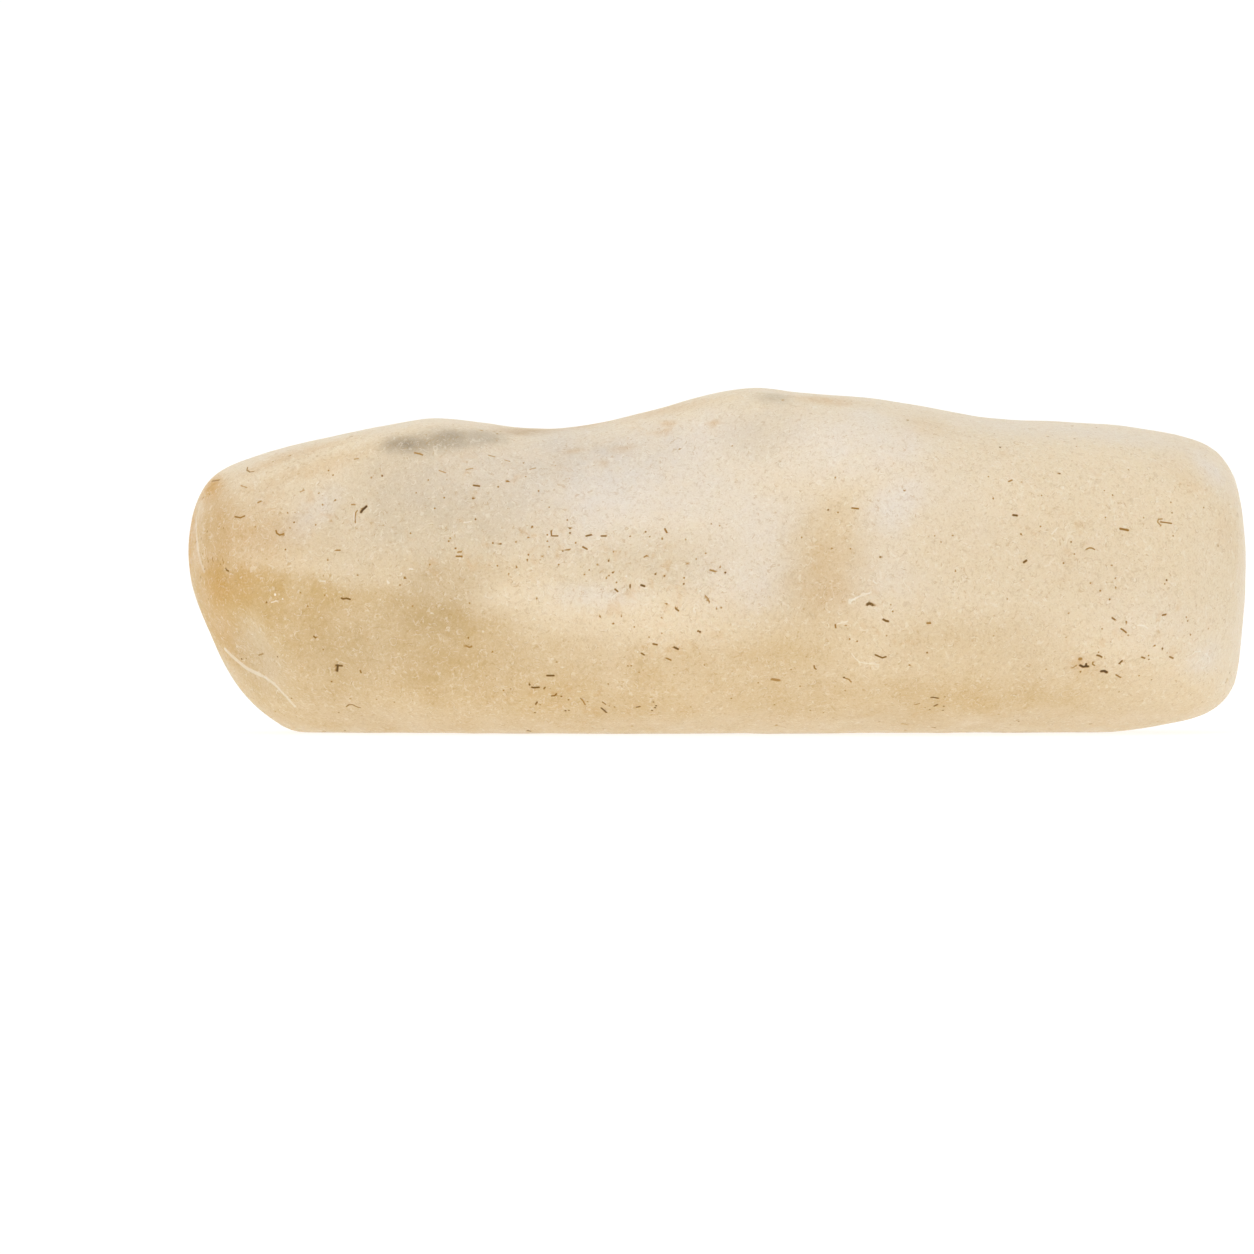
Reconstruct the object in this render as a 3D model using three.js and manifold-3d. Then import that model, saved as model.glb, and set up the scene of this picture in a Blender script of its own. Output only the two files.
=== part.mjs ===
// A raw piece of Libyan desert glass: one wind-worn lump of natural silica glass.
// Millimetres, +Z up. The stone rests on the worn flat of its underside, which lies at z = 0, with the
// middle of its box over the origin. Its length runs along X, and the broad face is turned to -Y.
import * as THREE from "three";
import { mergeVertices } from "three/addons/utils/BufferGeometryUtils.js";
import { ImprovedNoise } from "three/addons/math/ImprovedNoise.js";
import Module from "manifold-3d";

// Driving dimensions
const LENGTH = 28; // left tip to right end
const HEIGHT = 9.13; // resting flat to the top of the higher hump
const DEPTH = 13; // broad face to back

// The middle of the stone, from which facets are measured
const MIDDLE = new THREE.Vector3(0, 0, 0.49 * HEIGHT);

// Outline seen from the broad face, clockwise from the left tip.
// Each point is [share of the length, from the middle; share of the height, from the resting flat].
const OUTLINE = [
  [-0.5, 0.559], // left tip
  [-0.491, 0.679],
  [-0.468, 0.758], // left shoulder
  [-0.421, 0.803],
  [-0.336, 0.869],
  [-0.296, 0.894],
  [-0.254, 0.918], // lower hump
  [-0.214, 0.908],
  [-0.175, 0.887], // hollow between the humps
  [-0.129, 0.888],
  [-0.079, 0.919],
  [-0.018, 0.968],
  [0.039, 1.0], // higher hump
  [0.082, 0.985],
  [0.15, 0.969],
  [0.207, 0.942],
  [0.261, 0.912], // start of the long right shoulder
  [0.329, 0.9],
  [0.386, 0.887],
  [0.439, 0.862],
  [0.471, 0.825], // upper right corner
  [0.4875, 0.75],
  [0.4964, 0.613],
  [0.5, 0.482], // right end
  [0.4946, 0.274],
  [0.486, 0.105], // lower right corner
  [0.458, 0.037],
  [0.4, 0.006],
  [0.307, -0.012],
  [0, -0.024], // underside, a little below the resting flat that is cut later
  [-0.286, -0.022],
  [-0.39, -0.012],
  [-0.425, 0.068], // lower left corner
  [-0.4505, 0.17],
  [-0.4775, 0.334], // slanting left end
  [-0.4946, 0.449],
];

// The outline shrinks away from a ridge that runs along the top, the ends and the underside.
// Skew is how far it shifts to the right for each millimetre further back.
const RIDGE = { y: 0.3, radius: 20, skew: 0.06 };

// A direction off the stone. Azimuth 0 faces the front, 90 the right and 180 the back; tilt is upwards.
function facing(azimuth, tilt) {
  const a = THREE.MathUtils.degToRad(azimuth);
  const t = THREE.MathUtils.degToRad(tilt);
  return new THREE.Vector3(
    Math.sin(a) * Math.cos(t),
    -Math.cos(a) * Math.cos(t),
    Math.sin(t),
  );
}

// Broad worn faces: where each one looks, and how far it lies from the middle.
// Front and back faces lie at shares of the depth, and end faces at shares of the length.
const FACETS = [
  { azimuth: 3, tilt: 2, reach: 0.49 * DEPTH }, // front, right half
  { azimuth: -4, tilt: -10, reach: 0.492 * DEPTH }, // front, lower left
  { azimuth: -4, tilt: 16, reach: 0.462 * DEPTH }, // front, upper left
  { azimuth: 2, tilt: 58, reach: 0.48 * DEPTH }, // bevel along the top right
  { azimuth: -2, tilt: -50, reach: 0.5 * DEPTH }, // lower front edge
  { azimuth: 174, tilt: 8, reach: 0.48 * DEPTH }, // back, right half
  { azimuth: 194, tilt: -6, reach: 0.46 * DEPTH }, // back, left half
  { azimuth: 186, tilt: 42, reach: 0.44 * DEPTH }, // back, upper slope
  { azimuth: 178, tilt: -46, reach: 0.5 * DEPTH }, // lower back edge
  { azimuth: -56, tilt: -14, reach: 0.466 * LENGTH }, // lower left end
  { azimuth: -48, tilt: 22, reach: 0.43 * LENGTH }, // upper left end
  { azimuth: 50, tilt: -4, reach: 0.468 * LENGTH }, // right end, front corner
  { azimuth: 140, tilt: 6, reach: 0.42 * LENGTH }, // right end, back corner
  { azimuth: 218, tilt: 10, reach: 0.4 * LENGTH }, // left end, back corner
];
const CROWN = 42; // radius that every facet bulges by
const EDGE_ROUNDING = 1.8; // where facets and outline meet

// Scooped scars. Each one lies where a line from a point inside the stone, [x, y, z], comes out of it at
// an azimuth and a tilt. Width and depth are those of the scoop, and lip rounds its border.
const SCARS = [
  { from: [-3.6, 0, 4.1], azimuth: -7, tilt: 17, width: 6.4, depth: 0.45, lip: 0.7 }, // front, broad scar
  { from: [0.6, 0, 4.2], azimuth: 2, tilt: 15, width: 5.4, depth: 0.4, lip: 0.7 }, // front, beside it
  { from: [-1.6, 0, 4.6], azimuth: -4, tilt: 40, width: 7.2, depth: 0.5, lip: 0.9 }, // front, above both
  { from: [-8.2, 0, 4.2], azimuth: -14, tilt: 20, width: 5.2, depth: 0.32, lip: 0.6 }, // front, upper left
  { from: [3.2, 0, 4.2], azimuth: -3, tilt: 2, width: 3, depth: 0.16, lip: 0.4 }, // front, short valley
  { from: [-6.6, 0, 4.1], azimuth: -8, tilt: -14, width: 6, depth: 0.18, lip: 0.7 }, // front, lower left
  { from: [-10.4, 0, 3.2], azimuth: -44, tilt: -26, width: 3.4, depth: 0.4, lip: 0.25 }, // chipped corner
  { from: [-4.4, 2.6, 5], azimuth: 170, tilt: 78, width: 6.6, depth: 0.5, lip: 0.8 }, // top, hollow
  { from: [5.6, 1.4, 5], azimuth: 165, tilt: 62, width: 7.4, depth: 0.6, lip: 0.8 }, // top, right
  { from: [-9.2, 1, 4.6], azimuth: 196, tilt: 56, width: 5, depth: 0.45, lip: 0.6 }, // top, left
  { from: [9.4, 2.6, 4.4], azimuth: 146, tilt: 34, width: 4.6, depth: 0.35, lip: 0.6 }, // back, corner
  { from: [-7.4, 0, 4.3], azimuth: 194, tilt: 6, width: 6.4, depth: 0.5, lip: 0.7 }, // back, left
  { from: [-1, 0, 4.3], azimuth: 183, tilt: -16, width: 5.6, depth: 0.5, lip: 0.5 }, // back, lower middle
  { from: [2.2, 0, 4.6], azimuth: 178, tilt: 18, width: 4.2, depth: 0.3, lip: 0.4 }, // back, upper middle
  { from: [7.6, 0, 4.4], azimuth: 170, tilt: 2, width: 7.4, depth: 0.6, lip: 0.8 }, // back, right
];

// Uneven wear over the whole stone, which fades out within a distance of the ridge
const WEAR = [
  { wavelength: 5.2, height: 0.26 },
  { wavelength: 2.3, height: 0.11 },
];
const WEAR_FADE = 3.5;

// Net of triangles that is drawn over the stone: its spacing, and the size of the core that its lines
// start from, as shares of the stone's box
const GRID = 0.56;
const CORE = new THREE.Vector3(0.62, 0.3, 0.12);
const HALVINGS = 24; // steps that close in on the surface along each line

// The outline as a closed chain of short edges
const rim = new THREE.CatmullRomCurve3(
  OUTLINE.map(([x, z]) => new THREE.Vector3(x * LENGTH, 0, z * HEIGHT)),
  true,
  "centripetal",
).getPoints(6 * OUTLINE.length);

// How far a point lies outside the outline, negative inside, when seen from the broad face
function outlineDistance(x, z) {
  let nearest = Infinity;
  let inside = false;
  for (let i = 1; i < rim.length; i++) {
    const a = rim[i - 1];
    const b = rim[i];
    const edgeX = b.x - a.x;
    const edgeZ = b.z - a.z;
    const along = ((x - a.x) * edgeX + (z - a.z) * edgeZ) / (edgeX ** 2 + edgeZ ** 2);
    const share = THREE.MathUtils.clamp(along, 0, 1);
    const gap = Math.hypot(x - a.x - share * edgeX, z - a.z - share * edgeZ);
    nearest = Math.min(nearest, gap);
    if (a.z > z !== b.z > z && x < a.x + ((z - a.z) * edgeX) / edgeZ) inside = !inside;
  }
  return inside ? -nearest : nearest;
}

// The larger of two distances, with a rounded step between them
function roundedMax(a, b, rounding) {
  const overlap = Math.max(rounding - Math.abs(a - b), 0) / rounding;
  return Math.max(a, b) + (overlap ** 2 * rounding) / 4;
}

// Each facet as a large ball that bulges through its plane
const facetBalls = FACETS.map(({ azimuth, tilt, reach }) => ({
  centre: facing(azimuth, tilt).multiplyScalar(reach - CROWN).add(MIDDLE),
  radius: CROWN,
}));

// How far a point lies outside the outline and the facets
function bodyDistance(point) {
  const back = point.y - RIDGE.y;
  const shrink = back ** 2 / (2 * RIDGE.radius);
  let distance = outlineDistance(point.x - RIDGE.skew * back, point.z) + shrink;
  for (const { centre, radius } of facetBalls) {
    distance = roundedMax(distance, point.distanceTo(centre) - radius, EDGE_ROUNDING);
  }
  return distance;
}

// The point where a surface crosses the line from a point inside it along a direction
function crossing(surfaceDistance, from, direction) {
  let near = 0;
  let far = LENGTH;
  for (let step = 0; step < HALVINGS; step++) {
    const middle = (near + far) / 2;
    if (surfaceDistance(from.clone().addScaledVector(direction, middle)) < 0) near = middle;
    else far = middle;
  }
  return from.clone().addScaledVector(direction, near);
}

// Each scar as the ball that scooped it, which is as wide as the scar at the body's surface
const scarBalls = SCARS.map(({ from, azimuth, tilt, width, depth, lip }) => {
  const outward = facing(azimuth, tilt);
  const radius = (width ** 2 / 4 + depth ** 2) / (2 * depth);
  const centre = crossing(bodyDistance, new THREE.Vector3(...from), outward);
  return { centre: centre.addScaledVector(outward, radius - depth), radius, lip };
});

const noise = new ImprovedNoise();

// How far the wear takes the surface in at a point
function wearDepth(point) {
  const strength = THREE.MathUtils.smoothstep(Math.abs(point.y - RIDGE.y), 0, WEAR_FADE);
  return WEAR.reduce((sum, { wavelength, height }) => {
    const p = point.clone().divideScalar(wavelength);
    return sum + strength * height * noise.noise(p.x, p.y, p.z);
  }, 0);
}

// How far a point lies outside the stone, negative inside
function stoneDistance(point) {
  let distance = bodyDistance(point);
  for (const { centre, radius, lip } of scarBalls) {
    distance = roundedMax(distance, radius - point.distanceTo(centre), lip);
  }
  return distance + wearDepth(point);
}

// A closed net: each point of a box's surface is drawn along its line from the core to the stone's surface
function stoneGeometry() {
  const box = new THREE.BoxGeometry(
    LENGTH,
    DEPTH,
    HEIGHT,
    Math.round(LENGTH / GRID),
    Math.round(DEPTH / GRID),
    Math.round(HEIGHT / GRID),
  );
  box.deleteAttribute("normal");
  box.deleteAttribute("uv");
  const net = mergeVertices(box);
  const place = net.getAttribute("position");
  for (let i = 0; i < place.count; i++) {
    const corner = new THREE.Vector3().fromBufferAttribute(place, i);
    const start = corner.clone().multiply(CORE);
    const direction = corner.sub(start).normalize();
    const found = crossing(stoneDistance, start.add(MIDDLE), direction);
    place.setXYZ(i, found.x, found.y, found.z);
  }
  return net;
}

const wasm = await Module();
wasm.setup();

// A closed geometry as a solid that can be cut, and back again
function toSolid(geometry) {
  return new wasm.Manifold(
    new wasm.Mesh({
      numProp: 3,
      vertProperties: new Float32Array(geometry.getAttribute("position").array),
      triVerts: new Uint32Array(geometry.index.array),
    }),
  );
}

function toGeometry(solid) {
  const mesh = solid.getMesh();
  const geometry = new THREE.BufferGeometry()
    .setAttribute("position", new THREE.BufferAttribute(mesh.vertProperties, 3))
    .setIndex(new THREE.BufferAttribute(mesh.triVerts, 1));
  geometry.computeVertexNormals();
  return geometry;
}

// The ground that wore the underside flat, as a block whose top is at z = 0
function groundBlock() {
  const block = new THREE.BoxGeometry(2 * LENGTH, 2 * DEPTH, HEIGHT);
  block.deleteAttribute("normal");
  block.deleteAttribute("uv");
  block.translate(0, 0, -HEIGHT / 2);
  return mergeVertices(block);
}

// Brings the stone to its driving dimensions, with the middle of its box over the origin
function fitted(geometry) {
  geometry.computeBoundingBox();
  const { min, max } = geometry.boundingBox;
  geometry.translate(-(min.x + max.x) / 2, -(min.y + max.y) / 2, 0);
  return geometry.scale(LENGTH / (max.x - min.x), DEPTH / (max.y - min.y), HEIGHT / max.z);
}

// Natural silica glass, pale straw yellow, with a wind-frosted skin
const desertGlass = new THREE.MeshStandardMaterial({
  color: new THREE.Color("#e6d0a8"),
  roughness: 0.5,
  metalness: 0,
});

const worn = toSolid(stoneGeometry()).subtract(toSolid(groundBlock()));
const stone = new THREE.Mesh(fitted(toGeometry(worn)), desertGlass);
stone.name = "desert_glass";

const rawDesertGlass = new THREE.Group();
rawDesertGlass.add(stone);

export default rawDesertGlass;
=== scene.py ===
# Raw Libyan desert glass: one worn lump of natural silica glass on a light table
import math
import random

import bmesh
import bpy
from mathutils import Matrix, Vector, noise
from mathutils.bvhtree import BVHTree
from mathutils.kdtree import KDTree


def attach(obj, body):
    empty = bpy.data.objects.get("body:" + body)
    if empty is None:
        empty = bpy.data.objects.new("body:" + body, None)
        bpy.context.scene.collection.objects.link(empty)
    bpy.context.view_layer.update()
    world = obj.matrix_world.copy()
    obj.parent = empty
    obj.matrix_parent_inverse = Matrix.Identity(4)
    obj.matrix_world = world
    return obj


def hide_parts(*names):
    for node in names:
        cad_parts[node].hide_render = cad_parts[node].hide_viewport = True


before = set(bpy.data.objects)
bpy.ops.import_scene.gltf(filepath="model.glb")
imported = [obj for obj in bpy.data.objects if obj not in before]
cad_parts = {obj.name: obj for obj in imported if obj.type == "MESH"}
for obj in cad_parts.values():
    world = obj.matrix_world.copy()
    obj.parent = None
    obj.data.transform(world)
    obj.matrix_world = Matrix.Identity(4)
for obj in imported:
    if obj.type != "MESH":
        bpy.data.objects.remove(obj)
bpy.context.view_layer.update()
mm = 0.001
frameWidthPx = 1254


# Shared helpers

def linearColour(code):
    # sRGB hex to the linear values that shaders work in
    channels = [int(code[i:i + 2], 16) / 255 for i in (1, 3, 5)]
    return [c / 12.92 if c <= 0.04045 else ((c + 0.055) / 1.055) ** 2.4 for c in channels] + [1.0]


def smoothStep(low, high, value):
    share = min(max((value - low) / (high - low), 0.0), 1.0)
    return share * share * (3 - 2 * share)


def addNode(tree, kind, inputs=None, **settings):
    node = tree.nodes.new(kind)
    for name, value in settings.items():
        setattr(node, name, value)
    for key, value in (inputs or {}).items():
        if isinstance(value, bpy.types.NodeSocket):
            tree.links.new(value, node.inputs[key])
        else:
            node.inputs[key].default_value = value
    return node


mixA, mixB, mixResult = 6, 7, 2  # colour sockets of a Mix node


# Camera: nearly level with the stone, at the photograph's framing

photoView = {
    "pxPerMm": 37.79,         # scale of the photograph at the stone
    "originPx": (717, 732),   # where the middle of the resting flat lies in it
    "lens": 400,
    "sensor": 36,
    "elevation": 0.7,         # degrees above level
    "clip": (0.001, 10),      # metres
}


def makeCamera(view):
    scale = view["pxPerMm"]
    middle = frameWidthPx / 2
    aim = Vector(((middle - view["originPx"][0]) / scale, 0, (view["originPx"][1] - middle) / scale)) * mm
    distance = frameWidthPx / scale * view["lens"] / view["sensor"] * mm
    up = math.radians(view["elevation"])
    lens = bpy.data.cameras.new("camera")
    lens.lens = view["lens"]
    lens.sensor_width = view["sensor"]
    lens.clip_start, lens.clip_end = view["clip"]
    camera = bpy.data.objects.new("camera", lens)
    camera.location = aim + Vector((0, -math.cos(up), math.sin(up))) * distance
    camera.rotation_euler = (math.pi / 2 - up, 0, 0)
    bpy.context.scene.collection.objects.link(camera)
    bpy.context.scene.camera = camera
    return camera.location.copy()


eye = makeCamera(photoView)
print("camera placed")


def seenAt(place):
    # Where a point shows from the eye, on the upright plane through the middle of the stone, in mm
    share = eye.y / (eye.y - place.y)
    return (eye + (place - eye) * share) / mm


# The stone's surface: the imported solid, smoothed out of its facets, then roughened and pitted

stone = {
    "merged": 0.001,          # mm within which the solid's points are one
    "voxel": 0.18,            # mm between points of the new skin
    "smoothing": (0.5, 4),    # strength and number of the rounds that take the flat triangles away
    "undulations": [          # wavelength and height in mm
        (2.6, 0.035),
        (1.1, 0.016),
        (0.55, 0.007),
    ],
    "flatBand": 0.25,         # mm above the resting flat where the relief fades out
    "finest": 1.25,           # widest step inside a mark, as a share of its half width
    "refined": (1.5, 0.85),   # half widths and steps round a mark within which edges are split
    "splitFrom": 0.6,         # shortest edge that is split, as a share of the step
    "pressed": (0.3, 1.9),    # half widths between which a mark's depth falls to nothing
    "fade": 2.6,              # half widths over which a mark's field falls to nothing
    "seed": 27,
}


def bareSkin(node, settings):
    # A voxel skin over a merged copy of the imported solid
    shell = bmesh.new()
    shell.from_mesh(node.data)
    bmesh.ops.remove_doubles(shell, verts=shell.verts, dist=settings["merged"] * mm)
    mesh = bpy.data.meshes.new("skinBase")
    shell.to_mesh(mesh)
    shell.free()
    base = bpy.data.objects.new("skinBase", mesh)
    bpy.context.scene.collection.objects.link(base)
    rounding = base.modifiers.new("rounding", "SUBSURF")
    rounding.levels = rounding.render_levels = 1
    voxels = base.modifiers.new("voxels", "REMESH")
    voxels.mode = "VOXEL"
    voxels.voxel_size = settings["voxel"] * mm
    easing = base.modifiers.new("easing", "SMOOTH")
    easing.factor, easing.iterations = settings["smoothing"]
    graph = bpy.context.evaluated_depsgraph_get()
    skin = bmesh.new()
    skin.from_object(base, graph)
    bpy.data.objects.remove(base)
    bpy.data.meshes.remove(mesh)
    return skin


def roughen(skin, settings):
    # Low undulation that wind and sand leave, faded out on the flat that the stone rests on
    skin.normal_update()
    moves = []
    for vert in skin.verts:
        spot = vert.co / mm
        lift = sum(height * noise.noise(spot / wave) for wave, height in settings["undulations"])
        moves.append(vert.normal * lift * smoothStep(0, settings["flatBand"], spot.z) * mm)
    for vert, move in zip(skin.verts, moves):
        vert.co += move


# Marks on the broad face, read off, in mm to the right of the middle and up from the flat

# Dirt-filled pits: place and how dark, from 0.4, golden, to 1, nearly black. Darker ones are wider.
pits = [
    # left, above the slope line
    (-13.42, 6.29, 0.65), (-13.10, 6.51, 0.45), (-11.75, 7.16, 0.5), (-10.28, 6.92, 0.6),
    (-10.16, 6.80, 0.55), (-10.10, 6.14, 0.6), (-10.44, 6.02, 0.5), (-10.54, 6.32, 0.45),
    (-11.36, 5.80, 0.5), (-11.19, 5.55, 0.7), (-11.30, 5.40, 0.55), (-10.62, 5.48, 0.5),
    (-13.49, 5.31, 0.6), (-13.06, 5.40, 0.5), (-13.65, 5.13, 0.5), (-11.42, 4.83, 0.6), (-10.30, 4.55, 0.5),
    (-13.14, 4.44, 0.5), (-13.55, 4.31, 0.65), (-13.67, 4.10, 0.55), (-10.41, 4.13, 0.5),
    (-9.51, 4.15, 0.5), (-13.61, 4.72, 0.5), (-12.22, 5.43, 0.45), (-9.14, 6.74, 0.45),
    # upper scar, left part
    (-8.86, 6.78, 0.85), (-7.64, 6.67, 0.5), (-7.22, 6.20, 0.6), (-7.47, 5.92, 0.6), (-6.46, 6.18, 0.75),
    (-5.79, 6.49, 0.6), (-5.53, 6.64, 0.65), (-4.72, 6.38, 0.6), (-5.12, 7.12, 0.5), (-6.39, 5.63, 0.75),
    (-4.89, 5.44, 0.65), (-8.11, 5.26, 0.55), (-7.06, 5.13, 0.5), (-7.10, 5.05, 0.6), (-6.92, 4.86, 0.7),
    (-5.93, 5.00, 0.65), (-5.72, 4.98, 0.65), (-5.32, 5.03, 0.5), (-5.00, 5.15, 0.5), (-4.99, 4.69, 0.6),
    (-5.02, 4.56, 0.6), (-4.49, 5.22, 0.6), (-4.49, 5.05, 0.5), (-4.44, 4.90, 0.5), (-4.08, 4.79, 0.6),
    (-4.19, 4.43, 0.55), (-5.81, 4.40, 0.55), (-5.30, 4.36, 0.55), (-7.60, 4.43, 0.5), (-8.27, 4.08, 0.7),
    (-7.96, 6.33, 0.45), (-5.06, 6.76, 0.45), (-4.44, 5.95, 0.45), (-4.63, 4.65, 0.45), (-5.51, 4.19, 0.45),
    # upper scar, middle
    (-3.90, 5.39, 0.85), (-3.89, 5.27, 0.8), (-3.96, 5.61, 0.55), (-3.74, 5.01, 0.55), (-3.90, 4.83, 0.5),
    (-2.74, 4.77, 0.5), (-2.30, 5.18, 0.6), (-1.89, 5.30, 0.75), (-1.78, 5.17, 0.5), (-1.45, 5.11, 0.65),
    (-0.99, 7.49, 0.5), (0.40, 7.57, 0.5), (-2.87, 4.53, 0.8), (-3.17, 4.43, 0.5), (-3.38, 4.29, 0.5),
    (-3.51, 4.17, 0.5), (-2.76, 4.22, 0.75), (-2.86, 4.14, 0.6), (-2.93, 4.07, 0.5), (-1.63, 4.18, 0.8),
    (-1.39, 4.13, 0.7), (-0.87, 4.08, 0.6), (-0.30, 4.73, 0.5), (0.22, 4.22, 0.9), (0.08, 4.36, 0.5),
    (-0.15, 5.51, 0.45), (0.07, 5.46, 0.45), (-0.78, 4.46, 0.45), (-0.55, 4.58, 0.45), (-0.83, 5.10, 0.45),
    # upper right
    (4.96, 6.39, 0.65), (2.94, 5.88, 0.8), (3.20, 5.81, 0.55), (3.13, 6.74, 0.5), (2.24, 5.15, 0.5),
    (3.04, 4.86, 0.5), (3.53, 4.85, 0.5), (4.32, 4.63, 0.75), (5.76, 5.19, 0.45), (5.93, 5.03, 0.45),
    (7.49, 7.54, 0.95), (9.07, 6.84, 0.8), (7.34, 7.90, 0.45), (9.51, 7.56, 0.45), (7.18, 6.76, 0.5),
    (8.59, 6.26, 0.5), (7.31, 6.18, 0.55), (10.47, 6.27, 0.55), (6.24, 5.20, 0.5), (8.56, 5.44, 0.55),
    (8.04, 5.24, 0.6), (9.37, 5.03, 0.6), (9.46, 4.71, 0.5), (9.17, 4.47, 0.6), (6.31, 4.26, 0.55),
    (10.45, 4.41, 0.5), (10.28, 5.68, 0.5), (12.04, 5.80, 0.5), (12.01, 6.08, 0.5), (12.07, 5.19, 0.5),
    (12.88, 5.94, 0.55), (11.29, 5.67, 0.45), (13.26, 4.92, 0.55), (10.25, 6.39, 0.45), (10.89, 6.94, 0.45),
    # lower left
    (-11.92, 3.43, 0.75), (-11.02, 3.69, 0.5), (-10.83, 3.33, 0.5), (-10.38, 3.62, 0.5),
    (-13.46, 3.52, 0.5), (-12.58, 1.93, 0.85), (-12.46, 1.95, 0.5), (-11.63, 1.99, 0.85),
    (-10.42, 2.18, 0.5), (-10.20, 1.33, 0.7), (-11.26, 0.89, 0.55), (-10.01, 0.51, 0.7),
    (-11.69, 0.54, 0.5), (-8.39, 3.89, 0.55), (-6.55, 3.41, 0.5), (-6.58, 2.49, 0.65), (-5.94, 2.12, 0.6),
    (-4.77, 3.53, 0.5), (-4.24, 1.85, 0.5), (-4.96, 1.25, 0.85), (-4.12, 0.94, 0.75), (-4.68, 0.72, 0.5),
    (-5.65, 1.10, 0.55), (-8.54, 0.79, 0.5), (-4.82, 0.51, 0.8), (-4.01, 0.56, 0.95), (-9.71, 0.88, 0.45),
    (-9.01, 0.86, 0.45), (-8.06, 3.33, 0.45), (-5.46, 1.14, 0.45),
    # lower middle
    (-2.66, 3.96, 0.55), (-0.88, 3.92, 0.75), (-1.33, 3.39, 0.55), (-0.01, 3.26, 0.5), (0.11, 3.29, 0.55),
    (-3.10, 3.06, 0.6), (-2.53, 3.06, 0.5), (-2.74, 2.87, 0.6), (-2.19, 2.78, 0.5), (-0.50, 2.67, 0.8),
    (-0.45, 2.65, 0.9), (-0.33, 1.77, 0.5), (-2.36, 1.75, 0.5), (-2.27, 1.75, 0.5), (-2.88, 1.27, 0.5),
    (-3.93, 0.85, 0.65), (-3.42, 0.80, 0.5), (-2.85, 0.69, 0.5), (-2.71, 0.66, 0.6), (-3.92, 0.57, 0.75),
    (-1.68, 0.79, 0.7), (-1.61, 0.69, 0.95), (-1.64, 0.64, 0.95), (-1.72, 0.57, 0.95), (0.38, 0.89, 0.6),
    (-1.47, 3.03, 0.45), (-1.46, 2.61, 0.45), (-1.80, 2.51, 0.45), (-2.06, 1.58, 0.45), (-0.69, 0.66, 0.45),
    # lower right
    (1.96, 1.65, 0.5), (3.41, 2.82, 0.5), (3.51, 2.46, 0.55), (3.71, 2.40, 0.55), (4.65, 3.19, 0.6),
    (4.60, 3.37, 0.45), (5.56, 2.10, 0.7), (5.09, 1.77, 0.55), (3.36, 1.44, 0.95), (3.39, 1.09, 0.5),
    (2.20, 1.21, 0.5), (1.09, 1.30, 0.5), (1.52, 0.72, 0.55), (5.63, 0.59, 0.75), (5.51, 0.64, 0.5),
    (2.82, 0.51, 0.5), (2.47, 0.57, 0.5), (9.62, 1.59, 0.7), (10.10, 2.11, 0.5), (10.88, 2.56, 0.5),
    (10.83, 2.92, 0.55), (10.19, 2.73, 0.5), (10.39, 3.51, 0.65), (10.14, 3.74, 0.6), (10.55, 3.83, 0.5),
    (10.54, 4.07, 0.5), (9.88, 3.94, 0.5), (10.64, 1.06, 0.5), (6.03, 0.93, 0.5), (6.00, 0.68, 0.8),
    (5.98, 0.57, 0.8), (11.90, 4.02, 0.85), (11.85, 3.92, 0.5), (13.79, 3.71, 0.5), (12.42, 3.04, 0.5),
    (12.46, 2.94, 0.6), (13.42, 2.97, 0.5), (12.53, 2.57, 0.5), (11.79, 2.21, 0.85), (11.59, 2.29, 0.6),
    (11.43, 1.92, 0.6), (11.42, 2.02, 0.55), (11.17, 1.49, 0.5), (11.50, 1.38, 0.5), (12.84, 0.79, 0.5),
    (4.49, 2.55, 0.45), (9.30, 3.14, 0.45), (8.71, 1.66, 0.45), (7.68, 3.52, 0.45), (13.00, 2.73, 0.45),
]

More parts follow.
